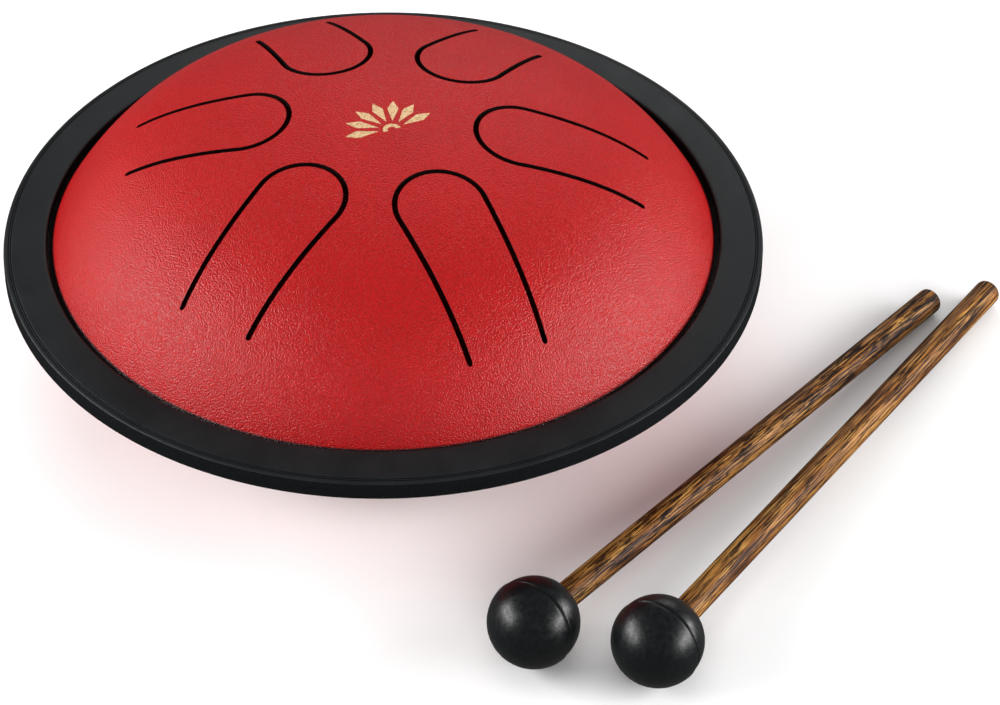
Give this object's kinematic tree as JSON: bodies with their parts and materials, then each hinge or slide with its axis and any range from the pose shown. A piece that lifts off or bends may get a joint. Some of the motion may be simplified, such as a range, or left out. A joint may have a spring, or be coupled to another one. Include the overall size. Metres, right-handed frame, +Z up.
{
  "type": "steel tongue drum with mallets",
  "caption": "Compact domed steel tongue drum with U-shaped tongues cut in its top shell, a black rubber rim ring, and rubber-headed wooden mallets lying beside it.",
  "frame": {"origin": "Middle of the footprint of the whole set, drum and mallets as they lie, on the surface they rest on. The drum's own axis is 28.0 mm to -X and 22.6 mm to +Y of it.", "axes": "+Z up along the drum's axis. The front, -Y, is the side the longest tongue points to, and the crown's motif reads upright from there. +X is to the right seen from the front, where the mallets' sticks end."},
  "size_m": [0.2337, 0.2231, 0.0731],
  "materials": {
    "shell_paint": "satin red powder coat with a fine orange-peel grain",
    "rim_rubber": "satin black moulded rubber",
    "foot_rubber": "matte black moulded rubber",
    "fastener_steel": "black zinc-plated",
    "stick_wood": "dark streaked wood, lightly oiled",
    "head_rubber": "satin black rubber ball"
  },
  "bodies": {
    "drum": {"upper_shell": "shell_paint", "lower_shell": "shell_paint", "rim_ring": "rim_rubber", "foot_1": "foot_rubber", "foot_2": "foot_rubber", "foot_3": "foot_rubber", "foot_screw_1": "fastener_steel", "foot_screw_2": "fastener_steel", "foot_screw_3": "fastener_steel", "foot_nut_1": "fastener_steel", "foot_nut_2": "fastener_steel", "foot_nut_3": "fastener_steel"},
    "tongue_1": {"tongue_1": "shell_paint"},
    "tongue_2": {"tongue_2": "shell_paint"},
    "tongue_3": {"tongue_3": "shell_paint"},
    "tongue_4": {"tongue_4": "shell_paint"},
    "tongue_5": {"tongue_5": "shell_paint"},
    "tongue_6": {"tongue_6": "shell_paint"},
    "mallet_1": {"mallet_1_stick": "stick_wood", "mallet_1_head": "head_rubber"},
    "mallet_2": {"mallet_2_stick": "stick_wood", "mallet_2_head": "head_rubber"}
  },
  "joints": [
    {"name": "tongue_1_flex", "type": "hinge", "parent": "drum", "child": "tongue_1", "pos_m": [-0.02802, -0.04385, 0.05328], "axis": [-1, 0, 0], "range_deg": [-0.5, 0.5], "stiffness_Nm_per_rad": 1.5},
    {"name": "tongue_2_flex", "type": "hinge", "parent": "drum", "child": "tongue_2", "pos_m": [-0.08345, -0.00945, 0.05543], "axis": [-0.5, 0.866, 0], "range_deg": [-0.5, 0.5], "stiffness_Nm_per_rad": 1.5},
    {"name": "tongue_3_flex", "type": "hinge", "parent": "drum", "child": "tongue_3", "pos_m": [0.02446, -0.00775, 0.05804], "axis": [-0.5, -0.866, 0], "range_deg": [-0.5, 0.5], "stiffness_Nm_per_rad": 1.5},
    {"name": "tongue_4_flex", "type": "hinge", "parent": "drum", "child": "tongue_4", "pos_m": [-0.07842, 0.05165, 0.05962], "axis": [0.5, 0.866, 0], "range_deg": [-0.5, 0.5], "stiffness_Nm_per_rad": 1.5},
    {"name": "tongue_5_flex", "type": "hinge", "parent": "drum", "child": "tongue_5", "pos_m": [0.01632, 0.04815, 0.06332], "axis": [0.5, -0.866, 0], "range_deg": [-0.5, 0.5], "stiffness_Nm_per_rad": 1.5},
    {"name": "tongue_6_flex", "type": "hinge", "parent": "drum", "child": "tongue_6", "pos_m": [-0.02802, 0.07465, 0.06291], "axis": [1, 0, 0], "range_deg": [-0.5, 0.5], "stiffness_Nm_per_rad": 1.5},
    {"name": "mallet_1_lift", "type": "slide", "parent": "drum", "child": "mallet_1", "axis": [0, 0, 1], "range_m": [0, 0.12]},
    {"name": "mallet_2_lift", "type": "slide", "parent": "drum", "child": "mallet_2", "axis": [0, 0, 1], "range_m": [0, 0.12]}
  ]
}
